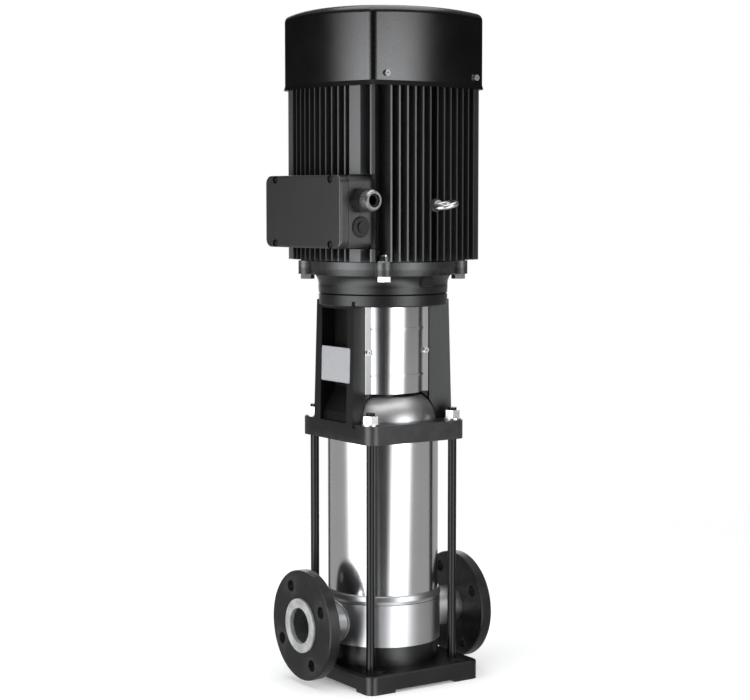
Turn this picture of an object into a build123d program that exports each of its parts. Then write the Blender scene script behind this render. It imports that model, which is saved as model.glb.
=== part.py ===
from build123d import *
import os
from math import cos, radians, sin, sqrt

# Vertical multistage pump: an in-line stainless pump on a cast base, with a
# fan-cooled square motor on top. Millimetres, +Z up. The origin is the centre
# of the base's underside. The pipe axis runs along X: suction at -X, discharge
# at +X. The terminal box is on the -X face and the lifting eye on the -Y face.

# Fits shared by all pieces
seat_gap = 0.3
running_gap = 0.05
hole_gap = 1.0

# Cast base
base_length = 200
base_width = 230
base_corner = 14
base_thickness = 28
foot_height = 4
foot_length = 46
foot_width = 36
base_edge = 3
foundation_hole = 14
foundation_spacing_x = 130
foundation_spacing_y = 196
pedestal_radius = 85
pedestal_height = 29.5
base_wall = 12
rib_width = 14

# Port chamber and pipe ports
port_height = 90
face_to_face = 300
port_bore = 54
chamber_radius = 87.5
chamber_wall = 3
chamber_height = 63
chamber_floor = 4
stub_outer = 60.3
collar_outer = 81
collar_thickness = 6
collar_proud = 3
gasket_thickness = 0.8
gasket_width = 5.6
gasket_inset = 0.4

# Loose backing flanges, drilled to the 50 mm, 16 bar pattern
flange_outer = 165
flange_thickness = 18
flange_bolt_circle = 125
flange_bolt_hole = 18
flange_bolts = 4
flange_turn = 28
flange_edge = 1.5

# Sleeve and its lower ring
sleeve_radius = 84
sleeve_wall = 2
ring_radius = 88.5
ring_height = 13
ring_step = 5
ring_land = 5
ring_edge = 1
ring_bevel = 1.5
sleeve_length = 245
head_ring_depth = 6

# Tie rods, washers and nuts
rod_diameter = 13
rod_spacing_x = 148
rod_spacing_y = 156
rod_engagement = 16
rod_end = 4
washer_outer = 26
washer_thickness = 2.5
nut_across_flats = 21
nut_height = 12

# Pump head
head_flange_thickness = 11.7
head_dome_radius = 80.3
head_top_radius = 57
head_top_height = 59
head_shoulder = 24
head_inset = 0.2
head_wall = 4.5
head_bulge = 7.8
head_bulge_height = 19.5
head_seat_rise = 18
head_seat_depth = 9.5
head_boss_radius = 30
head_boss_height = 6

# Motor stool
stool_foot_x = 176
stool_foot_y = 192
stool_foot_corner = 16
stool_foot_thickness = 28
pillar_outer_low = 90
pillar_outer_high = 86
pillar_half_width_low = 54
pillar_half_width_high = 51
pillar_inner_x = 58
pillar_inner_y = 40
pillar_rim = 15
pillar_recess = 26
pillar_tongue = 11
pillar_root = 6
pillar_ledge = 5
pillar_kick = 14
pillar_slope = 50
pillar_lintel = 4
dome_gap = 2
window_height = 173
neck_radius_low = 97.5
neck_radius_high = 103.2
neck_height = 46
neck_wall = 10
neck_edge = 1.5
neck_swell = 0.5
neck_flare_start = 18
neck_flare_mid = 8
groove_height = 16.5
groove_width = 2.4
groove_depth = 1.6
stool_flange_radius = 110
stool_flange_thickness = 9.5
lug_circle = 228
lug_reach = 128
lug_width = 26
lug_turn = 57

# Coupling guards
guard_thickness = 1.2
guard_half_width = 56.8
guard_bulge_half = 46.5
guard_bulge_radius = 60
guard_plane = 38
guard_bottom_gap = 4
guard_height = 131
bead_height_low = 27
bead_height_high = 97
bead_size = 1.6
guard_screw_x = 52
guard_screw_height = 62
guard_screw_diameter = 5
guard_screw_depth = 8
guard_screw_head = 8.5
guard_screw_crown = 3

# Nameplate on the stool pillar
plate_width = 78
plate_height = 52
plate_thickness = 0.8
plate_bottom = 60
plate_shift = 5.5

# Hydraulics inside the sleeve
stage_count = 5
stage_pitch = 45
stage_radius = 70
stage_wall = 2
stage_floor = 3
eye_radius = 30
impeller_radius = 56
shroud_thickness = 2
impeller_width = 22
impeller_slope = 8
blade_inset = 12
blade_sweep = 34
blade_curve = 60
hub_radius = 13
vane_count = 6
vane_thickness = 2
guide_disc_radius = 60
guide_disc_height = 30
shaft_diameter = 18
shaft_start = 100
shaft_length = 388
duct_outer = 56
duct_wall = 2.5
mouth_radius = 33
bush_radius = 13
bush_length = 14
spider_arms = 3
spider_arm = 4
clamp_land = 8
clamp_foot = 4
clamp_plate = 3
clamp_overhang = 10
clamp_posts = 6
seal_radius = 17
seal_length = 24
seal_seat_height = 10

# Shaft coupling
coupling_radius = 30
coupling_length = 96
coupling_gap = 1.6
coupling_overlap = 40
coupling_screw = 8
coupling_screw_x = 22
shaft_end_gap = 4
motor_shaft_diameter = 28

# Motor
motor_flange_thickness = 10.5
motor_flange_radius = 110
bolt_diameter = 12
bolt_across_flats = 18
bolt_head_height = 7.5
motor_nut_height = 9.5
nut_pocket_radius = 15
nut_pocket_height = 16
motor_turn = 5.2
frame_across = 237.8
frame_bow = 16.1
frame_corner = 10
frame_height = 256
frame_gap = 2
frame_wall = 6
stator_radius = 87.5
stator_bore = 52
stator_length = 120
rotor_radius = 51.5
fin_pitch = 13.45
fin_thickness = 2.6
side_fins = range(-6, 7)
front_fins = range(-6, 7)
pad_width = 20
pad_offset = 72.5
corner_web = 7
shield_thickness = 10
shield_spigot = 8
bearing_outer = 62
bearing_width = 16
shaft_journal = 30
fan_radius = 82
fan_hub_radius = 26
fan_height = 34
fan_blades = 9
fan_blade_thickness = 2.5
fan_rise = 12
fan_rim = 6
collar_step = 4

# Fan cover
cover_across = 245.6
cover_bow = 16
cover_flare = 3
cover_corner = 15
cover_wall = 1.5
cover_height = 120
cover_flare_height = 7
cover_edge = 11
cover_dome_radius = 1380
intake_radius = 60
cover_overlap = 3
slot_pitch = 12
slot_width = 6
slot_rows = 7
cover_screw_x = 85
cover_screw_height = 17
cover_screw_head = 9
cover_screw_shank = 4
cover_screw_depth = 6
cover_screw_crown = 2.6
cover_ear_width = 14

# Terminal box
box_width = 182
box_height = 103.5
box_centre_height = 706.8
box_back = 94
box_depth = 42.6
box_wall = 4
box_corner = 9
board_width = 62
board_height = 44
board_thickness = 8
stud_radius = 2.5
stud_length = 12
stud_pitch = 20
stud_rows = 22
lid_thickness = 14
lid_corner = 12
lid_lip = 1
lid_edge = 3
lid_gasket = 1.4
lid_screw_span = 134
lid_screw_rise = 94
lid_screw_shift = 8
lid_screw_head = 9
lid_screw_crown = 3.6
lid_notch = 12
lid_notch_depth = 5
gland_x = 116
gland_height = 723
gland_base = 34
gland_bore = 20
gland_nut = 30
gland_reach = 33
gland_edge = 2
plug_x = 115
plug_height = 685
plug_outer = 30
plug_head = 3

# Lifting eye
eye_x = 4
eye_height = 716
eye_outer = 39
eye_wire = 8
eye_collar = 16
eye_collar_length = 5
eye_stem = 10
eye_stem_length = 13
eye_tilt = 14

# Vent and drain plugs
vent_across_flats = 17
vent_thread = 10
vent_head = 9
drain_across_flats = 19
drain_thread = 12
drain_head = 9
drain_rise = 14

# Heights worked out from the sizes above
chamber_bottom = base_thickness + pedestal_height
chamber_top = chamber_bottom + chamber_height
ring_bottom = chamber_top + gasket_thickness
sleeve_bottom = ring_bottom + ring_step + seat_gap
sleeve_top = sleeve_bottom + sleeve_length
head_bottom = sleeve_top + seat_gap
foot_bottom = sleeve_top - head_ring_depth
foot_top = foot_bottom + stool_foot_thickness
head_flange_top = head_bottom + head_flange_thickness
head_top = head_bottom + head_top_height
neck_bottom = foot_top + window_height
guard_bottom = head_top + guard_bottom_gap
guard_back = guard_plane - guard_thickness / 2
neck_top = neck_bottom + neck_height
stool_top = neck_top + stool_flange_thickness
motor_flange_top = stool_top + motor_flange_thickness
frame_bottom = motor_flange_top + frame_gap
frame_top = frame_bottom + frame_height
shield_top = frame_top + shield_thickness
cover_bottom = frame_top - cover_overlap
cover_top = cover_bottom + cover_height
stage_bottom = ring_bottom + seat_gap + chamber_floor
shaft_end = shaft_start + shaft_length
coupling_bottom = shaft_end - coupling_overlap
rod_start = base_thickness - rod_engagement
nut_bottom = foot_top + washer_thickness
rod_top = nut_bottom + nut_height + rod_end
core_radius = stator_radius + frame_wall
flange_front = face_to_face / 2 - collar_proud
flange_back = flange_front - flange_thickness
drain_height = chamber_bottom + drain_rise
rod_places = GridLocations(rod_spacing_x, rod_spacing_y, 2, 2)
lug_places = PolarLocations(lug_circle / 2, 4, start_angle=lug_turn)

os.makedirs("parts", exist_ok=True)


def bowed_square(half, bow, corner_radius):
    """Square outline with bowed sides and rounded corners, as one sketch in the XY plane."""
    with BuildSketch() as outline:
        with BuildLine():
            for face in range(4):
                corner = Vector(half - bow, bow - half).rotate(Axis.Z, 90 * face)
                crown = Vector(half, 0).rotate(Axis.Z, 90 * face)
                ThreePointArc(corner, crown, corner.rotate(Axis.Z, 90))
        make_face()
        fillet(outline.vertices(), corner_radius)
    return outline.sketch


def bowed_reach(half, bow, along):
    """Distance from the centre to a bowed square's side, at a place along that side."""
    span = half - bow
    arc_radius = (span**2 + bow**2) / (2 * bow)
    return half - arc_radius + sqrt(arc_radius**2 - along**2)


def finish(builder, name, turn=0):
    """Label a finished piece, turned about the pump's axis, and write it to its own file."""
    piece = builder.part.rotate(Axis.Z, turn)
    piece.label = name
    export_step(piece, f"parts/{name}.step")


def ring(name, inner, outer, bottom, height):
    """A plain round ring about the pump's axis."""
    with BuildPart() as piece:
        with BuildSketch(Plane.XY.offset(bottom)):
            Circle(outer)
            Circle(inner, mode=Mode.SUBTRACT)
        extrude(amount=height)
    finish(piece, name)


# Cast base: rounded plate on four corner feet, with a hollow pedestal
with BuildPart() as base_plate:
    with BuildSketch(Plane.XY.offset(foot_height)):
        RectangleRounded(base_length, base_width, base_corner)
    extrude(amount=base_thickness - foot_height)
    fillet(base_plate.edges().group_by(Axis.Z)[-1], base_edge)
    with BuildSketch():
        RectangleRounded(base_length, base_width, base_corner)
        Rectangle(base_length, base_width - 2 * foot_width, mode=Mode.SUBTRACT)
        Rectangle(base_length - 2 * foot_length, base_width, mode=Mode.SUBTRACT)
    extrude(amount=foot_height)
    with BuildSketch(Plane.XY.offset(foot_height)):
        Circle(pedestal_radius)
    extrude(amount=chamber_bottom - foot_height)
    with BuildSketch():
        Circle(pedestal_radius - base_wall)
        Rectangle(2 * pedestal_radius, rib_width, mode=Mode.SUBTRACT)
        Rectangle(rib_width, 2 * pedestal_radius, mode=Mode.SUBTRACT)
    extrude(amount=chamber_bottom - base_wall, mode=Mode.SUBTRACT)
    with BuildSketch():
        with GridLocations(foundation_spacing_x, foundation_spacing_y, 2, 2):
            Circle(foundation_hole / 2)
    extrude(amount=base_thickness, mode=Mode.SUBTRACT)
    with BuildSketch(Plane.XY.offset(rod_start)):
        with rod_places:
            Circle(rod_diameter / 2)
    extrude(amount=rod_engagement, mode=Mode.SUBTRACT)
finish(base_plate, "base_plate")

# Port chamber: round stainless pot with a stub pipe on each side
with BuildPart() as port_chamber:
    with BuildSketch(Plane.XY.offset(chamber_bottom)):
        Circle(chamber_radius)
    extrude(amount=chamber_height)
    for side in (-1, 1):
        port_plane = Plane(origin=(0, 0, port_height), x_dir=(0, 1, 0), z_dir=(side, 0, 0))
        with BuildSketch(port_plane):
            Circle(stub_outer / 2)
        extrude(amount=face_to_face / 2 - collar_thickness)
    with BuildSketch(Plane.XY.offset(chamber_bottom + chamber_floor)):
        Circle(chamber_radius - chamber_wall)
    extrude(amount=chamber_height, mode=Mode.SUBTRACT)
    with BuildSketch(Plane.YZ.offset(-face_to_face / 2)):
        with Locations((0, port_height)):
            Circle(port_bore / 2)
    extrude(amount=face_to_face, mode=Mode.SUBTRACT)
    with BuildSketch(Plane(origin=(0, 0, drain_height), x_dir=(1, 0, 0), z_dir=(0, 1, 0))):
        Circle(drain_thread / 2)
    extrude(amount=chamber_radius, mode=Mode.SUBTRACT)
finish(port_chamber, "port_chamber")

# Collars welded to the stub ends: their grey faces seal against the pipework
for side, name in ((-1, "suction_collar"), (1, "discharge_collar")):
    collar_plane = Plane(origin=(0, 0, port_height), x_dir=(0, 1, 0), z_dir=(side, 0, 0))
    with BuildPart() as collar:
        with BuildSketch(collar_plane.offset(face_to_face / 2 - collar_thickness)):
            Circle(collar_outer / 2)
            Circle(port_bore / 2, mode=Mode.SUBTRACT)
        extrude(amount=collar_thickness)
    finish(collar, name)

# Loose backing flanges, free to turn behind the collars
for side, name in ((-1, "suction_flange"), (1, "discharge_flange")):
    flange_plane = Plane(origin=(0, 0, port_height), x_dir=(0, 0, 1), z_dir=(side, 0, 0))
    with BuildPart() as loose_flange:
        with BuildSketch(flange_plane.offset(flange_back)):
            Circle(flange_outer / 2)
            Circle(stub_outer / 2 + seat_gap, mode=Mode.SUBTRACT)
            with PolarLocations(flange_bolt_circle / 2, flange_bolts, start_angle=-side * flange_turn):
                Circle(flange_bolt_hole / 2, mode=Mode.SUBTRACT)
        extrude(amount=flange_thickness)
        outer_rims = loose_flange.edges().filter_by(GeomType.CIRCLE).group_by(SortBy.RADIUS)[-1]
        chamfer(outer_rims, flange_edge)
        with BuildSketch(flange_plane.offset(face_to_face / 2 - collar_thickness - seat_gap)):
            Circle(collar_outer / 2 + seat_gap)
        extrude(amount=collar_thickness, mode=Mode.SUBTRACT)
    finish(loose_flange, name)

# Joint gasket and the bevelled ring that carries the sleeve
gasket_outer = chamber_radius - gasket_inset
ring("chamber_gasket", gasket_outer - gasket_width, gasket_outer, chamber_top, gasket_thickness)
with BuildPart() as sleeve_ring:
    with BuildSketch(Plane.XZ):
        with BuildLine():
            Polyline(
                (sleeve_radius - ring_land, ring_bottom),
                (ring_radius - ring_edge, ring_bottom),
                (ring_radius, ring_bottom + ring_step),
                (ring_radius - 2 * ring_edge, ring_bottom + ring_height - ring_bevel),
                (sleeve_radius + ring_bevel, ring_bottom + ring_height),
                (sleeve_radius + seat_gap, ring_bottom + ring_height),
                (sleeve_radius + seat_gap, ring_bottom + ring_step),
                (sleeve_radius - ring_land, ring_bottom + ring_step),
                close=True,
            )
        make_face()
    revolve(axis=Axis.Z)
finish(sleeve_ring, "sleeve_ring")

# Polished outer sleeve
ring("outer_sleeve", sleeve_radius - sleeve_wall, sleeve_radius, sleeve_bottom, sleeve_length)

# Inlet duct: elbow from the suction port up to the first impeller, with the
# spider that holds the shaft's lower bush
duct_reach = sqrt((chamber_radius - chamber_wall - seat_gap) ** 2 - (duct_outer / 2) ** 2)
duct_top = stage_bottom
bush_bottom = duct_top - hole_gap - bush_length
with BuildPart() as inlet_duct:
    with BuildSketch(Plane(origin=(0, 0, port_height), x_dir=(0, 1, 0), z_dir=(-1, 0, 0))):
        Circle(duct_outer / 2)
    extrude(amount=duct_reach)
    with BuildSketch(Plane.XY.offset(port_height - duct_outer / 2)):
        Circle(mouth_radius)
    extrude(amount=duct_top - port_height + duct_outer / 2)
    with BuildSketch(Plane(origin=(0, 0, port_height), x_dir=(0, 1, 0), z_dir=(-1, 0, 0))):
        Circle(duct_outer / 2 - duct_wall)
    extrude(amount=duct_reach, mode=Mode.SUBTRACT)
    with BuildSketch(Plane.XY.offset(port_height - duct_outer / 2 + duct_wall)):
        Circle(mouth_radius - duct_wall)
    extrude(amount=duct_top, mode=Mode.SUBTRACT)
    with BuildSketch(Plane.XY.offset(bush_bottom)):
        Circle(bush_radius + duct_wall)
        with PolarLocations(mouth_radius / 2, spider_arms):
            Rectangle(mouth_radius - 1, spider_arm)
        Circle(bush_radius, mode=Mode.SUBTRACT)
    extrude(amount=bush_length)
finish(inlet_duct, "inlet_duct")
ring("bottom_bush", shaft_diameter / 2 + running_gap, bush_radius, bush_bottom, bush_length)

# Stage chambers and impellers, one of each for every stage
for stage in range(stage_count):
    floor_height = stage_bottom + stage * stage_pitch
    disc_height = floor_height + guide_disc_height
    with BuildPart() as stage_chamber:
        with BuildSketch(Plane.XY.offset(floor_height)):
            Circle(stage_radius)
            Circle(eye_radius + hole_gap, mode=Mode.SUBTRACT)
        extrude(amount=stage_floor)
        with BuildSketch(Plane.XY.offset(floor_height)):
            Circle(stage_radius)
            Circle(stage_radius - stage_wall, mode=Mode.SUBTRACT)
        extrude(amount=stage_pitch)
        with BuildSketch(Plane.XY.offset(disc_height)):
            Circle(guide_disc_radius)
            Circle(hub_radius + hole_gap, mode=Mode.SUBTRACT)
        extrude(amount=shroud_thickness)
        with BuildSketch(Plane.XY.offset(disc_height + shroud_thickness)):
            with PolarLocations((eye_radius + stage_radius) / 2 - 1, vane_count):
                Rectangle(stage_radius - eye_radius, vane_thickness)
        extrude(amount=stage_pitch - guide_disc_height - shroud_thickness)
    finish(stage_chamber, f"stage_chamber_{stage + 1}")

    shroud_bottom = floor_height + stage_floor + hole_gap
    shroud_top = shroud_bottom + impeller_width
    with BuildPart() as impeller:
        with BuildSketch(Plane.XZ):
            with BuildLine():
                Polyline(
                    (eye_radius, floor_height + hole_gap),
                    (eye_radius, shroud_bottom),
                    (impeller_radius, shroud_bottom + impeller_slope),
                    (impeller_radius, shroud_bottom + impeller_slope + shroud_thickness),
                    (eye_radius - shroud_thickness, shroud_bottom + shroud_thickness),
                    (eye_radius - shroud_thickness, floor_height + hole_gap),
                    close=True,
                )
            make_face()
        revolve(axis=Axis.Z)
        with BuildSketch(Plane.XY.offset(shroud_top - shroud_thickness)):
            Circle(impeller_radius)
        extrude(amount=shroud_thickness)
        with BuildSketch(Plane.XY.offset(shroud_bottom + impeller_slope)):
            for blade in range(vane_count):
                with BuildLine(Rot(0, 0, 360 / vane_count * blade)):
                    blade_tip = (impeller_radius - blade_inset, blade_sweep)
                    RadiusArc((hub_radius + vane_thickness, 0), blade_tip, blade_curve)
                    offset(amount=vane_thickness / 2)
                make_face()
        extrude(amount=impeller_width - impeller_slope - shroud_thickness / 2)
        with BuildSketch(Plane.XY.offset(floor_height)):
            Circle(hub_radius)
        extrude(amount=stage_pitch)
        with BuildSketch(Plane.XY.offset(floor_height)):
            Circle(shaft_diameter / 2)
        extrude(amount=stage_pitch, mode=Mode.SUBTRACT)
    finish(impeller, f"impeller_{stage + 1}")

# Clamp ring between the top stage and the pump head
stage_top = stage_bottom + stage_count * stage_pitch
with BuildPart() as stack_clamp:
    with BuildSketch(Plane.XY.offset(stage_top)):
        Circle(stage_radius)
        Circle(stage_radius - clamp_land, mode=Mode.SUBTRACT)
    extrude(amount=clamp_foot)
    with BuildSketch(Plane.XY.offset(stage_top + clamp_foot)):
        with PolarLocations(stage_radius - clamp_land / 2, clamp_posts):
            Circle(clamp_plate)
    extrude(amount=head_bottom - stage_top - clamp_foot)
    with BuildSketch(Plane.XY.offset(head_bottom - clamp_plate)):
        Circle(stage_radius + clamp_overhang)
        Circle(stage_radius - clamp_land, mode=Mode.SUBTRACT)
    extrude(amount=clamp_plate)
finish(stack_clamp, "stack_clamp")

# Seat of the vent plug on the rear of the head's dome
vent_plane = Plane(
    origin=(0, head_dome_radius - head_seat_depth, head_bottom + head_shoulder + head_seat_rise),
    x_dir=(1, 0, 0),
    z_dir=(0, 0.83, 0.55),
)

# Pump head: domed stainless cover with the shaft seal's seat on top
with BuildPart() as pump_head:
    with BuildSketch(Plane.XZ):
        with BuildLine():
            outer_start = (sleeve_radius - head_inset, head_bottom)
            dome_low = (head_dome_radius, head_bottom + head_shoulder)
            dome_mid = (head_dome_radius - head_bulge, head_bottom + head_shoulder + head_bulge_height)
            dome_high = (head_top_radius, head_top)
            Polyline(
                (seal_radius, head_top - head_wall),
                (head_top_radius - 5, head_top - head_wall),
            )
            ThreePointArc(
                (head_top_radius - 5, head_top - head_wall),
                (head_dome_radius - 12, head_bottom + head_shoulder + 16),
                (head_dome_radius - head_wall, head_bottom + head_shoulder),
            )
            Polyline(
                (head_dome_radius - head_wall, head_bottom + head_shoulder),
                (head_dome_radius - head_wall, head_bottom),
                outer_start,
                (sleeve_radius - head_inset, head_flange_top),
                (head_dome_radius, head_flange_top),
                dome_low,
            )
            ThreePointArc(dome_low, dome_mid, dome_high)
            Polyline(
                dome_high,
                (head_boss_radius, head_top),
                (head_boss_radius, head_top + head_boss_height),
                (seal_radius, head_top + head_boss_height),
                (seal_radius, head_top - head_wall),
            )
        make_face()
    revolve(axis=Axis.Z)
    with BuildSketch(vent_plane):
        Circle(vent_across_flats / 2 + 3)
    extrude(amount=head_wall * 2, mode=Mode.SUBTRACT)
    with BuildSketch(vent_plane):
        Circle(vent_thread / 2)
    extrude(amount=-head_wall * 2, mode=Mode.SUBTRACT)
finish(pump_head, "pump_head")

# Mechanical shaft seal: fixed seat in the head, spring-loaded head on the shaft
seat_bottom = head_top - head_wall
ring("seal_seat", shaft_diameter / 2 + 1.5, seal_radius, seat_bottom, seal_seat_height)
ring("seal_spring_unit", shaft_diameter / 2, seal_radius - 2, seat_bottom - seat_gap - seal_length, seal_length)

# Motor stool: square foot, two channel pillars, turned neck and lugged flange
pillar_sections = (
    (foot_top - pillar_root, pillar_outer_low, pillar_half_width_low),
    (neck_bottom + 8, pillar_outer_high, pillar_half_width_high),
)
with BuildPart() as motor_stool:
    with BuildSketch(Plane.XY.offset(foot_bottom)):
        RectangleRounded(stool_foot_x, stool_foot_y, stool_foot_corner)
    extrude(amount=stool_foot_thickness)
    for side in (-1, 1):
        for height, outer_x, half_width in pillar_sections:
            with BuildSketch(Plane.XY.offset(height)):
                with BuildLine():
                    Polyline(
                        (side * outer_x, -half_width),
                        (side * pillar_inner_x, -pillar_inner_y),
                        (side * pillar_inner_x, pillar_inner_y),
                        (side * outer_x, half_width),
                        close=True,
                    )
                make_face()
        loft()
        with BuildSketch(Plane.XY.offset(foot_top - pillar_root)):
            with Locations((side * (pillar_inner_x + 2 - pillar_tongue / 2), 0)):
                Rectangle(pillar_tongue + 4, 2 * guard_back)
        extrude(amount=window_height + 8)
        with BuildSketch(Plane.XZ):
            with BuildLine():
                Polyline(
                    (side * (pillar_outer_low + pillar_ledge), foot_top),
                    (side * (pillar_outer_low - pillar_ledge), foot_top),
                    (side * (pillar_outer_low - pillar_ledge - dome_gap), foot_top + pillar_kick),
                    (side * (pillar_outer_low - pillar_recess), foot_top + pillar_slope),
                    (side * (pillar_outer_low - pillar_recess), neck_bottom - pillar_lintel),
                    (side * (pillar_outer_low + pillar_ledge), neck_bottom - pillar_lintel),
                    close=True,
                )
            make_face()
        extrude(amount=pillar_half_width_high - pillar_rim, both=True, mode=Mode.SUBTRACT)
    with BuildSketch(Plane.XZ):
        with BuildLine():
            Polyline(
                (neck_radius_low - neck_wall, neck_bottom),
                (neck_radius_low - neck_edge, neck_bottom),
                (neck_radius_low, neck_bottom + neck_edge),
                (neck_radius_low, neck_bottom + groove_height),
                (neck_radius_low - groove_depth, neck_bottom + groove_height + groove_width / 2),
                (neck_radius_low, neck_bottom + groove_height + groove_width),
                (neck_radius_low + neck_swell, neck_top - neck_flare_start),
            )
            ThreePointArc(
                (neck_radius_low + neck_swell, neck_top - neck_flare_start),
                (neck_radius_low + 3 * neck_swell, neck_top - neck_flare_mid),
                (neck_radius_high, neck_top),
            )
            Polyline(
                (neck_radius_high, neck_top),
                (stool_flange_radius, neck_top),
                (stool_flange_radius, stool_top),
                (neck_radius_low - neck_wall, stool_top),
                (neck_radius_low - neck_wall, neck_bottom),
            )
        make_face()
    revolve(axis=Axis.Z)
    with BuildSketch(Plane.XY.offset(neck_top)):
        with lug_places:
            SlotCenterToCenter(2 * lug_reach - lug_circle - lug_width, lug_width)
        Circle(neck_radius_high - neck_wall, mode=Mode.SUBTRACT)
    extrude(amount=stool_flange_thickness)
    with BuildSketch(Plane.XY.offset(neck_top)):
        with lug_places:
            Circle(bolt_diameter / 2 + seat_gap)
    extrude(amount=stool_flange_thickness + 2, mode=Mode.SUBTRACT)
    with BuildSketch(Plane.XY.offset(foot_bottom)):
        Circle(sleeve_radius + seat_gap)
    extrude(amount=head_flange_top + seat_gap - foot_bottom, mode=Mode.SUBTRACT)
    # The pillars' inner faces follow the dome with an even gap
    with BuildSketch(Plane.XZ):
        with BuildLine():
            gap_low = (head_dome_radius + seat_gap, head_bottom + head_shoulder)
            gap_mid = (dome_mid[0] + dome_gap, dome_mid[1])
            gap_high = (head_top_radius + dome_gap, head_top + dome_gap)
            Polyline(
                (0, head_flange_top),
                (head_dome_radius + seat_gap, head_flange_top),
                gap_low,
            )
            ThreePointArc(gap_low, gap_mid, gap_high)
            Polyline(gap_high, (0, head_top + dome_gap), (0, head_flange_top))
        make_face()
    revolve(axis=Axis.Z, mode=Mode.SUBTRACT)
    with BuildSketch(Plane.XY.offset(foot_bottom)):
        with rod_places:
            Circle(rod_diameter / 2 + seat_gap)
    extrude(amount=stool_foot_thickness, mode=Mode.SUBTRACT)
    for side in (-1, 1):
        screw_seat = Plane(
            origin=(0, side * guard_back, guard_bottom + guard_screw_height),
            x_dir=(1, 0, 0),
            z_dir=(0, side, 0),
        )
        with BuildSketch(screw_seat):
            with GridLocations(2 * guard_screw_x, 0, 2, 1):
                Circle(guard_screw_diameter / 2)
        extrude(amount=-guard_screw_depth - 1, mode=Mode.SUBTRACT)
finish(motor_stool, "motor_stool")

# Tie rods with their washers and nuts
with BuildPart() as tie_rods:
    with BuildSketch(Plane.XY.offset(rod_start)):
        with rod_places:
            Circle(rod_diameter / 2)
    extrude(amount=rod_top - rod_start)
finish(tie_rods, "tie_rods")
with BuildPart() as tie_rod_washers:
    with BuildSketch(Plane.XY.offset(foot_top)):
        with rod_places:
            Circle(washer_outer / 2)
            Circle(rod_diameter / 2, mode=Mode.SUBTRACT)
    extrude(amount=washer_thickness)
finish(tie_rod_washers, "tie_rod_washers")
with BuildPart() as tie_rod_nuts:
    with BuildSketch(Plane.XY.offset(nut_bottom)):
        with rod_places:
            RegularPolygon(nut_across_flats / 2, 6, major_radius=False)
            Circle(rod_diameter / 2, mode=Mode.SUBTRACT)
    extrude(amount=nut_height)
finish(tie_rod_nuts, "tie_rod_nuts")

# Coupling guards: bowed polished sheets with two pressed beads, one per window
bulge_centre = guard_plane - sqrt(guard_bulge_radius**2 - guard_bulge_half**2)
for side, name in ((-1, "coupling_guard_front"), (1, "coupling_guard_rear")):
    with BuildPart() as guard:
        with BuildSketch(Plane.XY.offset(guard_bottom)):
            with BuildLine():
                left_end = (-guard_half_width, side * guard_plane)
                left_foot = (-guard_bulge_half, side * guard_plane)
                right_foot = (guard_bulge_half, side * guard_plane)
                right_end = (guard_half_width, side * guard_plane)
                crown = (0, side * (bulge_centre + guard_bulge_radius))
                Line(left_end, left_foot)
                ThreePointArc(left_foot, crown, right_foot)
                Line(right_foot, right_end)
                offset(amount=guard_thickness / 2)
            make_face()
        extrude(amount=guard_height)
        for bead_height in (bead_height_low, bead_height_high):
            with BuildSketch(Plane.XY.offset(guard_bottom + bead_height - bead_size)):
                with Locations((0, side * bulge_centre)):
                    Circle(guard_bulge_radius + guard_thickness / 2 + bead_size)
                    Circle(guard_bulge_radius - guard_thickness / 2, mode=Mode.SUBTRACT)
                with Locations((0, side * (guard_plane + guard_bulge_radius))):
                    Rectangle(2 * guard_bulge_half, 2 * guard_bulge_radius, mode=Mode.INTERSECT)
            extrude(amount=2 * bead_size)
        with BuildSketch(Plane.XZ):
            with Locations((0, guard_bottom + guard_screw_height)):
                with GridLocations(2 * guard_screw_x, 0, 2, 1):
                    Circle(guard_screw_diameter / 2 + seat_gap)
        extrude(amount=guard_plane + 5, both=True, mode=Mode.SUBTRACT)
    finish(guard, name)

# Guard screws, two to a guard
with BuildPart() as guard_screws:
    for side in (-1, 1):
        screw_plane = Plane(
            origin=(0, side * (guard_back - guard_screw_depth), guard_bottom + guard_screw_height),
            x_dir=(1, 0, 0),
            z_dir=(0, side, 0),
        )
        with BuildSketch(screw_plane):
            with GridLocations(2 * guard_screw_x, 0, 2, 1):
                Circle(guard_screw_diameter / 2)
        extrude(amount=guard_screw_depth + guard_thickness)
        with BuildSketch(screw_plane.offset(guard_screw_depth + guard_thickness)):
            with GridLocations(2 * guard_screw_x, 0, 2, 1):
                Circle(guard_screw_head / 2)
        extrude(amount=guard_screw_crown)
finish(guard_screws, "guard_screws")

# Nameplate across the rims of the suction-side pillar, leaning with its taper
pillar_lean = (pillar_outer_low - pillar_outer_high) / (pillar_sections[1][0] - pillar_sections[0][0])
plate_rise = foot_top + plate_bottom - pillar_sections[0][0]
plate_plane = Plane(
    origin=(-pillar_outer_low + pillar_lean * plate_rise, 0, foot_top + plate_bottom),
    x_dir=(0, -1, 0),
    z_dir=(-1, 0, -pillar_lean),
)
with BuildPart() as nameplate:
    with BuildSketch(plate_plane):
        with Locations((plate_shift, plate_height / 2)):
            Rectangle(plate_width, plate_height)
    extrude(amount=plate_thickness)
finish(nameplate, "nameplate")

# Pump shaft, and the split coupling that clamps it to the motor's shaft
with BuildPart() as pump_shaft:
    with BuildSketch(Plane.XY.offset(shaft_start)):
        Circle(shaft_diameter / 2)
    extrude(amount=shaft_length)
    chamfer(pump_shaft.edges().filter_by(GeomType.CIRCLE), 1)
finish(pump_shaft, "pump_shaft")

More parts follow.
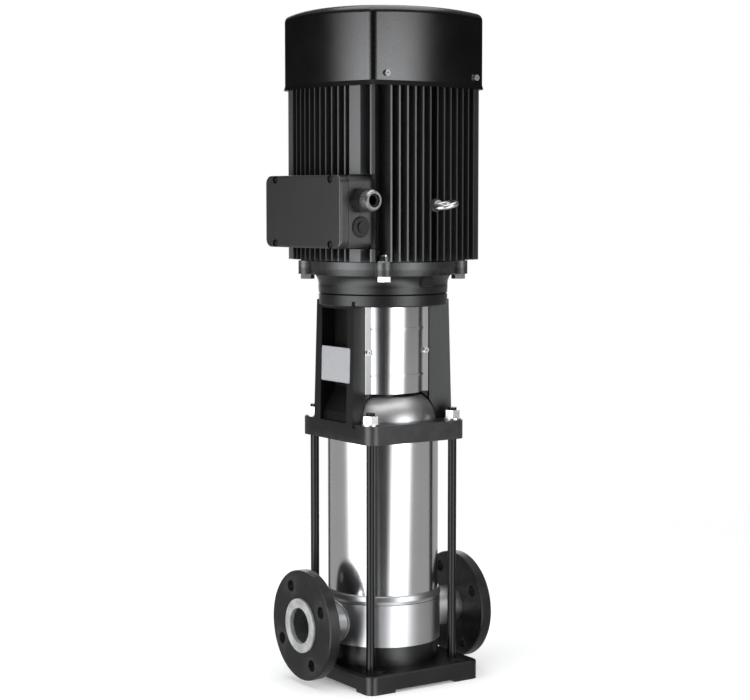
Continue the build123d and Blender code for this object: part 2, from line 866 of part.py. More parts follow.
coupling_middle = coupling_bottom + coupling_length / 2
coupling_screw_places = GridLocations(2 * coupling_screw_x, coupling_length / 2, 2, 2)
for side, name in ((-1, "coupling_half_front"), (1, "coupling_half_rear")):
    with BuildPart() as coupling_half:
        with BuildSketch(Plane.XY.offset(coupling_bottom)):
            Circle(coupling_radius)
            with Locations((0, -side * (coupling_radius - coupling_gap / 2))):
                Rectangle(2 * coupling_radius, 2 * coupling_radius, mode=Mode.SUBTRACT)
        extrude(amount=coupling_length)
        with BuildSketch(Plane.XY.offset(coupling_bottom)):
            Circle(shaft_diameter / 2)
        extrude(amount=coupling_length, mode=Mode.SUBTRACT)
        with BuildSketch(Plane.XY.offset(shaft_end + shaft_end_gap)):
            Circle(motor_shaft_diameter / 2)
        extrude(amount=coupling_length, mode=Mode.SUBTRACT)
        with BuildSketch(Plane(origin=(0, 0, coupling_middle), x_dir=(1, 0, 0), z_dir=(0, side, 0))):
            with coupling_screw_places:
                Circle(coupling_screw / 2)
        extrude(amount=coupling_radius, mode=Mode.SUBTRACT)
    finish(coupling_half, name)
with BuildPart() as coupling_screws:
    screw_origin = (0, -coupling_radius / 2, coupling_middle)
    with BuildSketch(Plane(origin=screw_origin, x_dir=(1, 0, 0), z_dir=(0, 1, 0))):
        with coupling_screw_places:
            Circle(coupling_screw / 2)
    extrude(amount=coupling_radius)
finish(coupling_screws, "coupling_screws")

# Motor flange: lugged end shield with a spigot and the lower bearing's seat
journal = shaft_journal / 2
bearing_radius = bearing_outer / 2
bearing_bottom = motor_flange_top - bearing_width + shield_spigot
with BuildPart() as motor_flange:
    with BuildSketch(Plane.XY.offset(stool_top)):
        Circle(motor_flange_radius)
        with lug_places:
            SlotCenterToCenter(2 * lug_reach - lug_circle - lug_width, lug_width)
    extrude(amount=motor_flange_thickness)
    with BuildSketch(Plane.XY.offset(stool_top - shield_spigot)):
        Circle(neck_radius_low - neck_wall - seat_gap)
    extrude(amount=shield_spigot)
    with BuildSketch(Plane.XY.offset(motor_flange_top)):
        Circle(stator_radius - seat_gap)
    extrude(amount=shield_spigot)
    with BuildSketch(Plane.XY.offset(bearing_bottom)):
        Circle(bearing_radius)
    extrude(amount=bearing_width, mode=Mode.SUBTRACT)
    with BuildSketch(Plane.XY.offset(stool_top - shield_spigot)):
        Circle(journal + 2)
    extrude(amount=motor_flange_thickness + 2 * shield_spigot, mode=Mode.SUBTRACT)
    with BuildSketch(Plane.XY.offset(stool_top)):
        with lug_places:
            Circle(bolt_diameter / 2 + seat_gap)
    extrude(amount=motor_flange_thickness, mode=Mode.SUBTRACT)
finish(motor_flange, "motor_flange")

# Bolts from below the stool's lugs, nuts above the motor flange
with BuildPart() as motor_bolts:
    with BuildSketch(Plane.XY.offset(neck_top - bolt_head_height)):
        with lug_places:
            RegularPolygon(bolt_across_flats / 2, 6, major_radius=False)
    extrude(amount=bolt_head_height)
    with BuildSketch(Plane.XY.offset(neck_top)):
        with lug_places:
            Circle(bolt_diameter / 2)
    extrude(amount=motor_flange_top + motor_nut_height + 2 - neck_top)
finish(motor_bolts, "motor_bolts")
with BuildPart() as motor_nuts:
    with BuildSketch(Plane.XY.offset(motor_flange_top)):
        with lug_places:
            RegularPolygon(bolt_across_flats / 2, 6, major_radius=False)
            Circle(bolt_diameter / 2, mode=Mode.SUBTRACT)
    extrude(amount=motor_nut_height)
finish(motor_nuts, "motor_nuts")

# Motor frame: round core with parallel fins drawn out to a bowed square, a web
# to each corner, two plain pads and a flat seat for the terminal box. The motor
# stands a few degrees off the pipe axis, as its lugs' bolts allow.
frame_half = frame_across / 2
side_offsets = [fin_pitch * place for place in side_fins]
front_offsets = [fin_pitch * (place + 0.5) for place in front_fins]
with BuildPart() as motor_frame:
    with BuildSketch(Plane.XY.offset(frame_bottom)):
        Circle(core_radius)
        for face in range(4):
            with Locations(Rot(0, 0, 90 * face)):
                for fin_offset in (side_offsets, front_offsets)[face % 2]:
                    on_pad = face % 2 == 0 and abs(fin_offset - pad_offset) < (pad_width + fin_thickness) / 2
                    if abs(fin_offset) < core_radius / sqrt(2):
                        fin_root = sqrt(core_radius**2 - fin_offset**2) - frame_wall / 2
                    else:
                        fin_root = abs(fin_offset)
                    if not on_pad:
                        with Locations(((fin_root + frame_half) / 2, fin_offset)):
                            Rectangle(frame_half - fin_root, fin_thickness)
                if face % 2 == 0:
                    with Locations(((pad_offset + frame_half) / 2, pad_offset)):
                        Rectangle(frame_half - pad_offset, pad_width)
        with PolarLocations((core_radius + frame_across / sqrt(2)) / 2, 4, start_angle=45):
            Rectangle(frame_across / sqrt(2) - core_radius + frame_wall, corner_web)
        add(bowed_square(frame_half, frame_bow, frame_corner), mode=Mode.INTERSECT)
        Circle(stator_radius, mode=Mode.SUBTRACT)
    extrude(amount=frame_height)
    with BuildSketch(Plane.XY.offset(frame_bottom)):
        with PolarLocations(lug_circle / 2, 4, start_angle=lug_turn - motor_turn):
            Circle(nut_pocket_radius)
    extrude(amount=nut_pocket_height, mode=Mode.SUBTRACT)
    with BuildSketch(Plane.XZ.offset(-frame_half - 1)):
        with Locations((-box_back - 20, box_centre_height)):
            Rectangle(40, box_height + 4)
    extrude(amount=frame_across + 2, mode=Mode.SUBTRACT)
    with BuildSketch(Plane(origin=(eye_x, -frame_half, eye_height), x_dir=(1, 0, 0), z_dir=(0, -1, 0))):
        Circle(eye_collar / 2 + 2)
    extrude(amount=core_radius - frame_half - frame_wall / 2)
    with BuildSketch(Plane(origin=(eye_x, -frame_half, eye_height), x_dir=(1, 0, 0), z_dir=(0, -1, 0))):
        Circle(eye_stem / 2)
    extrude(amount=-eye_stem_length, mode=Mode.SUBTRACT)
finish(motor_frame, "motor_frame", motor_turn)

# Stator pack, rotor pack and the stepped motor shaft
stator_bottom = frame_bottom + (frame_height - stator_length) / 2
ring("stator", stator_bore, stator_radius, stator_bottom, stator_length)
ring("rotor_core", shaft_journal / 2 + 3, rotor_radius, stator_bottom, stator_length)
fan_bottom = shield_top + fan_rise
shaft_step = shield_top + collar_step
fan_shaft_radius = motor_shaft_diameter / 2 - 2
fan_top = fan_bottom + fan_height
with BuildPart() as motor_shaft:
    with BuildSketch(Plane.XY.offset(shaft_end + shaft_end_gap + hole_gap)):
        Circle(motor_shaft_diameter / 2)
    extrude(amount=stool_top - shield_spigot - shaft_end - shaft_end_gap - hole_gap)
    with BuildSketch(Plane.XY.offset(stool_top - shield_spigot)):
        Circle(journal)
    extrude(amount=shaft_step - stool_top + shield_spigot)
    with BuildSketch(Plane.XY.offset(stator_bottom)):
        Circle(journal + 3)
    extrude(amount=stator_length)
    with BuildSketch(Plane.XY.offset(shaft_step)):
        Circle(fan_shaft_radius)
    extrude(amount=fan_top + 2 - shaft_step)
finish(motor_shaft, "motor_shaft")

# Reach of the cover's bowed skirt under its screws' heads and at the ears inside
cover_half = cover_across / 2
cover_outside = bowed_reach(cover_half, cover_bow, cover_screw_x - cover_screw_head / 2)
ear_edge = cover_screw_x + cover_ear_width / 2
cover_inside = bowed_reach(cover_half - cover_wall, cover_bow, ear_edge) - seat_gap
ear_root = cover_inside * 0.4

# Fan-side end shield with the upper bearing's seat
with BuildPart() as fan_end_shield:
    with BuildSketch(Plane.XY.offset(frame_top)):
        Circle(core_radius)
    extrude(amount=shield_thickness)
    with BuildSketch(Plane.XY.offset(frame_top)):
        with GridLocations(2 * cover_screw_x, cover_inside + ear_root, 2, 2):
            Rectangle(cover_ear_width, cover_inside - ear_root)
        Circle(bearing_radius + 2, mode=Mode.SUBTRACT)
    extrude(amount=2 * (cover_screw_height - cover_overlap))
    with BuildSketch(Plane.XY.offset(frame_top - shield_spigot)):
        Circle(stator_radius - seat_gap)
    extrude(amount=shield_spigot)
    with BuildSketch(Plane.XY.offset(frame_top - shield_spigot)):
        Circle(bearing_radius)
    extrude(amount=bearing_width, mode=Mode.SUBTRACT)
    with BuildSketch(Plane.XY.offset(frame_top - shield_spigot)):
        Circle(journal + 2)
    extrude(amount=shield_thickness + shield_spigot, mode=Mode.SUBTRACT)
    with BuildSketch(Plane.XZ.offset(-cover_inside)):
        with Locations((0, cover_bottom + cover_screw_height)):
            with GridLocations(2 * cover_screw_x, 0, 2, 1):
                Circle(cover_screw_shank / 2)
    extrude(amount=cover_screw_depth + hole_gap, mode=Mode.SUBTRACT)
    with BuildSketch(Plane.XZ.offset(cover_inside)):
        with Locations((0, cover_bottom + cover_screw_height)):
            with GridLocations(2 * cover_screw_x, 0, 2, 1):
                Circle(cover_screw_shank / 2)
    extrude(amount=-cover_screw_depth - hole_gap, mode=Mode.SUBTRACT)
finish(fan_end_shield, "fan_end_shield", motor_turn)

# The motor's two bearings, one in each end shield
with BuildPart() as motor_bearings:
    for height in (bearing_bottom, frame_top - shield_spigot):
        with BuildSketch(Plane.XY.offset(height)):
            Circle(bearing_radius)
            Circle(journal + running_gap, mode=Mode.SUBTRACT)
        extrude(amount=bearing_width)
finish(motor_bearings, "motor_bearings")

# Cooling fan: straight radial blades on a backplate
with BuildPart() as cooling_fan:
    with BuildSketch(Plane.XY.offset(fan_bottom)):
        Circle(fan_radius - fan_rim)
    extrude(amount=fan_blade_thickness)
    with BuildSketch(Plane.XY.offset(fan_bottom)):
        Circle(fan_hub_radius)
    extrude(amount=fan_height)
    with BuildSketch(Plane.XY.offset(fan_bottom)):
        with PolarLocations((fan_radius + fan_hub_radius) / 2 - 1, fan_blades):
            Rectangle(fan_radius - fan_hub_radius + 2, fan_blade_thickness)
    extrude(amount=fan_height)
    with BuildSketch(Plane.XY.offset(fan_bottom)):
        Circle(fan_shaft_radius)
    extrude(amount=fan_height, mode=Mode.SUBTRACT)
finish(cooling_fan, "cooling_fan")

# Fan cover: pressed bowed-square skirt with a flared hem, rounded over at the
# shoulder into a shallow dome with a slotted intake
def cover_skin(inset):
    """The fan cover's solid envelope, drawn in by the given inset."""
    half = cover_across / 2 - inset
    level = bowed_square(half, cover_bow, cover_corner - inset)
    hem_level = bowed_square(half + cover_flare / 2, cover_bow, cover_corner - inset)
    with BuildPart() as skin:
        with BuildSketch(Plane.XY.offset(cover_bottom)):
            add(hem_level)
        with BuildSketch(Plane.XY.offset(cover_bottom + cover_flare_height)):
            add(level)
        loft()
        with BuildSketch(Plane.XY.offset(cover_bottom + cover_flare_height)):
            add(level)
        extrude(amount=cover_height - cover_flare_height)
        with Locations((0, 0, cover_top - cover_dome_radius)):
            Sphere(cover_dome_radius - inset, rotation=(90, 0, 0), mode=Mode.INTERSECT)
        fillet(skin.faces().sort_by(Axis.Z)[-1].edges(), cover_edge - inset)
    return skin.part


with BuildPart() as fan_cover:
    add(cover_skin(0))
    add(cover_skin(cover_wall), mode=Mode.SUBTRACT)
    with BuildSketch(Plane.XY.offset(cover_top - 4 * cover_wall)):
        for row in range(slot_rows):
            slot_offset = slot_pitch * (row - (slot_rows - 1) / 2)
            slot_half = sqrt((intake_radius - slot_width) ** 2 - slot_offset**2)
            with Locations((0, slot_offset)):
                SlotOverall(2 * slot_half, slot_width)
    extrude(amount=5 * cover_wall, mode=Mode.SUBTRACT)
    with BuildSketch(Plane.XZ.offset(-cover_across)):
        with Locations((0, cover_bottom + cover_screw_height)):
            with GridLocations(2 * cover_screw_x, 0, 2, 1):
                Circle(cover_screw_shank / 2 + seat_gap)
    extrude(amount=2 * cover_across, mode=Mode.SUBTRACT)
finish(fan_cover, "fan_cover", motor_turn)

# Pan-head screws through the cover's skirt into the end shield's ears
with BuildPart() as cover_screws:
    for side in (-1, 1):
        cover_plane = Plane(
            origin=(0, side * cover_outside, cover_bottom + cover_screw_height),
            x_dir=(1, 0, 0),
            z_dir=(0, side, 0),
        )
        with BuildSketch(cover_plane.offset(seat_gap)):
            with GridLocations(2 * cover_screw_x, 0, 2, 1):
                Circle(cover_screw_head / 2)
        extrude(amount=cover_screw_crown)
        with BuildSketch(cover_plane.offset(cover_inside - cover_screw_depth - cover_outside)):
            with GridLocations(2 * cover_screw_x, 0, 2, 1):
                Circle(cover_screw_shank / 2)
        extrude(amount=cover_outside - cover_inside + cover_screw_depth + seat_gap)
finish(cover_screws, "cover_screws", motor_turn)

# Terminal box: open tray on the frame's -X seat, gasket, lid and its screws
box_plane = Plane(origin=(-box_back, 0, box_centre_height), x_dir=(0, -1, 0), z_dir=(-1, 0, 0))
inner_width = box_width - 2 * box_wall
inner_height = box_height - 2 * box_wall
lid_plane = box_plane.offset(box_depth + lid_gasket)
lid_notch_plane = lid_plane.offset(lid_thickness - lid_notch_depth)
lid_screw_places = GridLocations(lid_screw_span, lid_screw_rise, 2, 2)
gland_plane = Plane(origin=(-gland_x, -box_width / 2, gland_height), x_dir=(1, 0, 0), z_dir=(0, -1, 0))
with BuildPart() as terminal_box:
    with BuildSketch(box_plane):
        RectangleRounded(box_width, box_height, box_corner)
    extrude(amount=box_depth)
    with BuildSketch(box_plane.offset(box_wall)):
        RectangleRounded(inner_width, inner_height, box_corner - box_wall)
    extrude(amount=box_depth, mode=Mode.SUBTRACT)
    with BuildSketch(gland_plane):
        Circle(gland_bore / 2)
    extrude(amount=-box_wall, mode=Mode.SUBTRACT)
finish(terminal_box, "terminal_box", motor_turn)
with BuildPart() as terminal_gasket:
    with BuildSketch(box_plane.offset(box_depth)):
        RectangleRounded(box_width - 2, box_height - 2, box_corner)
        RectangleRounded(inner_width, inner_height, box_corner - box_wall, mode=Mode.SUBTRACT)
    extrude(amount=lid_gasket)
finish(terminal_gasket, "terminal_gasket", motor_turn)
with BuildPart() as terminal_lid:
    with BuildSketch(lid_plane):
        RectangleRounded(box_width + 2 * lid_lip, box_height + 2 * lid_lip, lid_corner)
    extrude(amount=lid_thickness)
    fillet(terminal_lid.edges().group_by(Axis.X)[0], lid_edge)
    with BuildSketch(lid_notch_plane):
        with Locations((-lid_screw_shift, 0)):
            with lid_screw_places:
                Circle(lid_notch / 2)
    extrude(amount=lid_notch_depth, mode=Mode.SUBTRACT)
finish(terminal_lid, "terminal_lid", motor_turn)
with BuildPart() as lid_screws:
    with BuildSketch(lid_notch_plane):
        with Locations((-lid_screw_shift, 0)):
            with lid_screw_places:
                Circle(lid_screw_head / 2)
    extrude(amount=lid_screw_crown)
finish(lid_screws, "lid_screws", motor_turn)

# Terminal board with its six studs
with BuildPart() as terminal_board:
    with BuildSketch(box_plane.offset(box_wall)):
        Rectangle(board_width, board_height)
    extrude(amount=board_thickness)
    with BuildSketch(box_plane.offset(box_wall + board_thickness)):
        with GridLocations(stud_pitch, stud_rows, 3, 2):
            Circle(stud_radius)
    extrude(amount=stud_length)
finish(terminal_board, "terminal_board", motor_turn)

# Cable gland and blind plug on the box's -Y side
with BuildPart() as gland_body:
    with BuildSketch(gland_plane):
        RegularPolygon(gland_base / 2, 6, major_radius=False)
        Circle(gland_bore / 2, mode=Mode.SUBTRACT)
    extrude(amount=gland_reach / 2)
finish(gland_body, "gland_body", motor_turn)
with BuildPart() as gland_ring:
    with BuildSketch(gland_plane.offset(gland_reach / 2)):
        Circle(gland_nut / 2)
        Circle(gland_bore / 2, mode=Mode.SUBTRACT)
    extrude(amount=gland_reach / 2)
    chamfer(gland_ring.edges().group_by(Axis.Y)[0].sort_by(SortBy.RADIUS)[-1], gland_edge)
finish(gland_ring, "gland_ring", motor_turn)
plug_plane = Plane(origin=(-plug_x, -box_width / 2, plug_height), x_dir=(1, 0, 0), z_dir=(0, -1, 0))
with BuildPart() as blind_plug:
    with BuildSketch(plug_plane):
        Circle(plug_outer / 2)
    extrude(amount=plug_head)
    chamfer(blind_plug.edges().group_by(Axis.Y)[0], plug_head / 3)
    with BuildSketch(plug_plane.offset(plug_head)):
        Circle(plug_outer / 4)
    extrude(amount=plug_head)
finish(blind_plug, "blind_plug", motor_turn)

# Lifting eye screwed into the frame's -Y face, its ring tilted off level
eye_radius_mid = (eye_outer - eye_wire) / 2
eye_centre = frame_half + eye_collar_length + eye_radius_mid
eye_plane = Plane(origin=(eye_x, -frame_half, eye_height), x_dir=(1, 0, 0), z_dir=(0, -1, 0))
tilt = radians(eye_tilt)
with BuildPart() as lifting_eye:
    with BuildSketch(eye_plane):
        Circle(eye_collar / 2)
    extrude(amount=eye_collar_length)
    with BuildSketch(eye_plane.offset(-eye_stem_length)):
        Circle(eye_stem / 2)
    extrude(amount=eye_stem_length)
    ring_plane = Plane(
        origin=(eye_x, -eye_centre, eye_height),
        x_dir=(cos(tilt), 0, sin(tilt)),
        z_dir=(-sin(tilt), 0, cos(tilt)),
    )
    with BuildSketch(Plane(origin=ring_plane.origin, x_dir=ring_plane.x_dir, z_dir=(0, -1, 0))):
        with Locations((eye_radius_mid, 0)):
            Circle(eye_wire / 2)
    revolve(axis=Axis(ring_plane.origin, ring_plane.z_dir))
finish(lifting_eye, "lifting_eye", motor_turn)

# Vent plug on the head's dome and drain plug low on the chamber, both at the rear
with BuildPart() as vent_plug:
    with BuildSketch(vent_plane):
        RegularPolygon(vent_across_flats / 2, 6, major_radius=False)
    extrude(amount=vent_head)
    with BuildSketch(vent_plane):
        Circle(vent_thread / 2)
    extrude(amount=-head_wall)
finish(vent_plug, "vent_plug")
drain_plane = Plane(origin=(0, chamber_radius - chamber_wall, drain_height), x_dir=(1, 0, 0), z_dir=(0, 1, 0))
with BuildPart() as drain_plug:
    with BuildSketch(drain_plane):
        Circle(drain_thread / 2)
    extrude(amount=chamber_wall + seat_gap)
    with BuildSketch(drain_plane.offset(chamber_wall + seat_gap)):
        RegularPolygon(drain_across_flats / 2, 6, major_radius=False)
    extrude(amount=drain_head)
finish(drain_plug, "drain_plug")
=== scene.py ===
import math

import bpy
import numpy as np
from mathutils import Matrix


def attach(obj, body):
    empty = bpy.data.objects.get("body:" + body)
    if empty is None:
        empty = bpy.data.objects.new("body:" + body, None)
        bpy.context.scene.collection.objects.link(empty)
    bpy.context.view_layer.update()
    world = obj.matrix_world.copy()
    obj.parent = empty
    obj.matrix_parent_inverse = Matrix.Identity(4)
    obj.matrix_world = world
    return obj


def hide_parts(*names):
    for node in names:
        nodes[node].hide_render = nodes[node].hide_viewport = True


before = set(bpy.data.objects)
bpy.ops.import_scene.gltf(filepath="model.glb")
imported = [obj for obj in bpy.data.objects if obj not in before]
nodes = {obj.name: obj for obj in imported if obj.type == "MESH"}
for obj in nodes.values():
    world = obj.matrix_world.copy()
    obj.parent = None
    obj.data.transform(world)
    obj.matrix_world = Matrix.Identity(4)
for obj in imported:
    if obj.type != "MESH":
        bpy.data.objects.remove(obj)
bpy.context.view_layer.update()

# Camera: a long lens a little above the middle of the pump, looking slightly
# down at its suction side and front.
camera_data = bpy.data.cameras.new("camera")
camera_data.sensor_width = 36.0
camera_data.lens = 87.77
camera_data.clip_end = 200.0
camera = bpy.data.objects.new("camera", camera_data)
camera_turn, camera_drop = math.radians(-33.512), math.radians(4.629)
camera.location = (-1.54025, -2.30416, 0.72091)
camera.rotation_euler = (math.pi / 2 - camera_drop, 0.0, camera_turn)
bpy.context.scene.collection.objects.link(camera)
bpy.context.scene.camera = camera
bpy.context.scene.view_settings.view_transform = "Standard"

# Floor: a round sheet of pale matt paper that lies under the base plate and
# fades out into the white of the studio. It is the first thing here that needs
# a material, so the two classes that write materials come with it.


class Socket:
    """A socket of a node tree: arithmetic on it adds Math nodes."""

    def __init__(self, tree, end=None):
        self.tree, self.end = tree, end

    def make(self, kind, settings=None, out=0, **feeds):
        """Any one node: its settings first, then the values or links of its
        sockets, which go by name, or by number as s0, s1."""
        node = self.tree.nodes.new(kind)
        for name, value in (settings or {}).items():
            setattr(node, name, value)
        for name, value in feeds.items():
            key = int(name[1:]) if name[1:].isdigit() else name.replace("_", " ")
            if isinstance(value, Socket):
                self.tree.links.new(value.end, node.inputs[key])
            else:
                node.inputs[key].default_value = value
        return Socket(self.tree, node.outputs[out])

    def math(self, operation, first, second=0.0):
        """One Math node."""
        return self.make("ShaderNodeMath", {"operation": operation}, s0=first, s1=second)

    def __add__(self, other):
        return self.math("ADD", self, other)

    def __radd__(self, other):
        return self.math("ADD", other, self)

    def __sub__(self, other):
        return self.math("SUBTRACT", self, other)

    def __rsub__(self, other):
        return self.math("SUBTRACT", other, self)

    def __mul__(self, other):
        return self.math("MULTIPLY", self, other)

    def __rmul__(self, other):
        return self.math("MULTIPLY", other, self)

    def __pow__(self, other):
        return self.math("POWER", self, other)

    def __rpow__(self, other):
        return self.math("POWER", other, self)

    def step(self, low, high):
        """0 below low, 1 above high, smooth between."""
        return self.make("ShaderNodeMapRange", {"interpolation_type": "SMOOTHSTEP"}, s0=self, s1=low, s2=high)

    def axis(self, letter):
        """One coordinate of a vector."""
        return self.make("ShaderNodeSeparateXYZ", out="XYZ".index(letter), Vector=self)

    def scaled(self, x, y, z):
        """The vector stretched by a factor along each axis."""
        return self.make("ShaderNodeVectorMath", {"operation": "MULTIPLY"}, s0=self, s1=(x, y, z))

    def noise(self, scale, detail=3.0):
        """Cloudy noise from 0 to 1, in cycles to the metre."""
        return self.make("ShaderNodeTexNoise", Vector=self, Scale=scale, Detail=detail, Roughness=0.55)

    def blend(self, low, high):
        """A colour that goes from low to high as this value goes from 0 to 1."""
        ends = [tone if isinstance(tone, Socket) else (*tone, 1.0) for tone in (low, high)]
        return self.make("ShaderNodeMix", {"data_type": "RGBA"}, out=2, s0=self, s6=ends[0], s7=ends[1])


class Finish:
    """A material on the Principled shader, with constants set on its sockets."""

    def __init__(self, name, **constants):
        self.material = bpy.data.materials.new(name)
        self.material.use_nodes = True
        self.tree = self.material.node_tree
        self.shader = self.tree.nodes["Principled BSDF"]
        for key, value in constants.items():
            value = (*value, 1.0) if isinstance(value, tuple) else value
            self.shader.inputs[key.replace("_", " ")].default_value = value
        start = Socket(self.tree)
        self.place = start.make("ShaderNodeTexCoord", out="Object")
        self.edge = start.make("ShaderNodeNewGeometry", out="Pointiness")

    def feed(self, key, socket):
        """Link a varying value to one of the shader's sockets."""
        self.tree.links.new(socket.end, self.shader.inputs[key])

    def bump(self, height, depth):
        """Relief: height from 0 to 1 over a depth in metres."""
        self.feed("Normal", height.make("ShaderNodeBump", Height=height, Distance=depth, Strength=1.0))

    def paint(self, *pieces):
        """Give this finish to CAD nodes by name, or to new pieces."""
        for piece in pieces:
            data = (nodes[piece] if isinstance(piece, str) else piece).data
            data.materials.clear()
            data.materials.append(self.material)


floor_reach, floor_inner, floor_sides = 1.9, 0.5, 96
paper_white, paper_glow = (0.92, 0.92, 0.92), 0.22
paper = Finish(
    "floor_paper", Base_Color=paper_white, Roughness=0.95,
    Specular_IOR_Level=0.1, Emission_Strength=paper_glow,
)
off_x, off_y = paper.place.axis("X"), paper.place.axis("Y")
from_axis = (off_x * off_x + off_y * off_y) ** 0.5
paper.feed("Alpha", 1.0 - from_axis.step(floor_inner, floor_reach))
around = np.linspace(0.0, 2 * np.pi, floor_sides, endpoint=False)
rim = np.stack([floor_reach * np.cos(around), floor_reach * np.sin(around), 0 * around], 1)
floor_mesh = bpy.data.meshes.new("floor")
floor_mesh.from_pydata(rim.tolist(), [], [list(range(floor_sides))])
floor = bpy.data.objects.new("floor", floor_mesh)
bpy.context.scene.collection.objects.link(floor)
floor.visible_glossy = False
paper.paint(floor)

# Studio air: white behind the pump for the camera. Everything else sees a dark
# room, lighter near the floor and overhead, and darkest round the camera.
room_glow, low_glow, high_glow = 0.02, 0.40, 0.22
low_band, high_band, camera_cone = (-0.09, 0.01), (0.25, 0.7), (0.86, 0.96)
camera_way_x, camera_way_y = -0.552, -0.834
world = bpy.data.worlds.new("studio")
bpy.context.scene.world = world
world.use_nodes = True
sky = Socket(world.node_tree)
straight = sky.make("ShaderNodeLightPath", out="Is Camera Ray")
heading = sky.make("ShaderNodeTexCoord", out="Generated")
toward_camera = heading.axis("X") * camera_way_x + heading.axis("Y") * camera_way_y
near_floor = low_glow * (1.0 - heading.axis("Z").step(*low_band))
near_roof = high_glow * heading.axis("Z").step(*high_band)
glow = room_glow + (near_floor + near_roof) * (1.0 - toward_camera.step(*camera_cone))
backdrop = world.node_tree.nodes["Background"]
backdrop.inputs["Color"].default_value = (1.0, 1.0, 1.0, 1.0)
world.node_tree.links.new((straight + (1.0 - straight) * glow).end, backdrop.inputs["Strength"])

# Softboxes: three upright sheets of lit white cloth, at the pump's front, at its
# suction side and behind it. They draw the long soft lights on the polished
# sleeve, the rods and the motor, and the camera doesn't see them.
cloth_white, lean_centre = (0.97, 0.985, 1.0), 0.5


def softbox(name, bearing, distance, flat_half, half_width, lean, low, high, fade, radiance):
    """A sheet square to a bearing from the pump, full along a middle line that
    leans across it as it rises, thinning smoothly to nothing at both sides and
    over its topmost part."""
    cloth = Finish(name, Base_Color=(0.0, 0.0, 0.0), Emission_Strength=radiance, Emission_Color=cloth_white)
    off_line = cloth.place.axis("X") + lean * (cloth.place.axis("Z") - lean_centre)
    side_fall = 1.0 - off_line.math("ABSOLUTE", off_line).step(flat_half, half_width)
    top_fall = 1.0 - cloth.place.axis("Z").step(high - fade, high)
    cloth.feed("Alpha", side_fall * top_fall)
    reach = half_width + abs(lean) * (high - low) / 2
    corners = [(-reach, 0, low), (reach, 0, low), (reach, 0, high), (-reach, 0, high)]
    sheet_mesh = bpy.data.meshes.new(name)
    sheet_mesh.from_pydata(corners, [], [[0, 1, 2, 3]])
    sheet = bpy.data.objects.new(name, sheet_mesh)
    turn = math.radians(bearing)
    sheet.location = (distance * math.cos(turn), distance * math.sin(turn), 0.0)
    sheet.rotation_euler = (0.0, 0.0, turn - math.pi / 2)
    sheet.visible_camera = False
    bpy.context.scene.collection.objects.link(sheet)
    cloth.paint(sheet)


softbox(
    "key", bearing=279, distance=1.6, flat_half=0.10, half_width=0.80, lean=0.45,
    low=-0.9, high=1.45, fade=0.6, radiance=4.4,
)
softbox(
    "side", bearing=185, distance=1.6, flat_half=0.14, half_width=1.25, lean=-0.4,
    low=-0.9, high=1.45, fade=0.6, radiance=4.4,
)
softbox(
    "back", bearing=60, distance=2.6, flat_half=0.60, half_width=1.30, lean=0.0,
    low=0.2, high=2.4, fade=0.6, radiance=2.0,
)

# Overhead lamp: a wide cloth square above the pump, for the floor and for the
# light along the upper edges.
lamp_side, lamp_height, lamp_radiance = 3.2, 2.7, 1.7
overhead_light = bpy.data.lights.new("overhead", "AREA")
overhead_light.shape = "SQUARE"
overhead_light.size = lamp_side
overhead_light.energy = math.pi * lamp_side**2 * lamp_radiance
overhead = bpy.data.objects.new("overhead", overhead_light)
overhead.location = (0.0, 0.0, lamp_height)
overhead.visible_camera = False
bpy.context.scene.collection.objects.link(overhead)

# Castings: the base plate, the motor stool and the two loose flanges are grey
# iron, sand cast, blasted and sprayed black, so a fine grain shows in the gloss
# and the iron begins to show along the edges.
cast_paint = Finish("cast_black_paint", IOR=1.52)
cast_deep, cast_thin, cast_bare = (0.0008, 0.0008, 0.0009), (0.0024, 0.0024, 0.0027), (0.03, 0.03, 0.031)
grain = cast_paint.place.noise(420.0, detail=4.0)
cloud = cast_paint.place.noise(14.0)
rubbed = (cast_paint.edge + 0.08 * (cast_paint.place.noise(70.0) - 0.5)).step(0.56, 0.66)
cast_tone = cloud.step(0.3, 0.7).blend(cast_deep, cast_thin)
cast_paint.feed("Base Color", rubbed.blend(cast_tone, cast_bare))
cast_paint.feed("Roughness", 0.24 + 0.12 * grain + 0.10 * cloud)
cast_paint.bump(grain, 0.0002)
cast_paint.paint("base_plate", "motor_stool", "suction_flange", "discharge_flange")

# Port chamber, sleeve ring, pump head, stages and plugs: stainless sheet and bar,
# pressed or turned, brushed satin round the pump's axis, with faint marks from
# handling.
satin = Finish("satin_stainless", Metallic=1.0)
satin_dark, satin_light = (0.50, 0.50, 0.51), (0.62, 0.62, 0.625)
brushed = satin.place.scaled(4.0, 4.0, 1500.0).noise(1.0)
patch = satin.place.noise(9.0)
satin.feed("Base Color", (0.4 * brushed + 0.6 * patch).step(0.2, 0.8).blend(satin_dark, satin_light))
satin.feed("Roughness", 0.30 + 0.08 * brushed + 0.07 * patch)
satin.bump(brushed, 0.00002)
stages = [f"{kind}_{i}" for kind in ("stage_chamber", "impeller") for i in range(1, 6)]
satin.paint("port_chamber", "pump_head", "sleeve_ring", "stack_clamp", "inlet_duct")
satin.paint("vent_plug", "drain_plug", *stages)

# Weld beads where the port stubs enter the chamber: stainless filler laid in
# overlapping scales along the saddle line between the two cylinders.
chamber_reach, stub_reach, port_height = 0.0875, 0.03015, 0.09
bead_size, scale_depth, scale_count = 0.0019, 0.14, 60
seam_count, bead_count = 240, 10


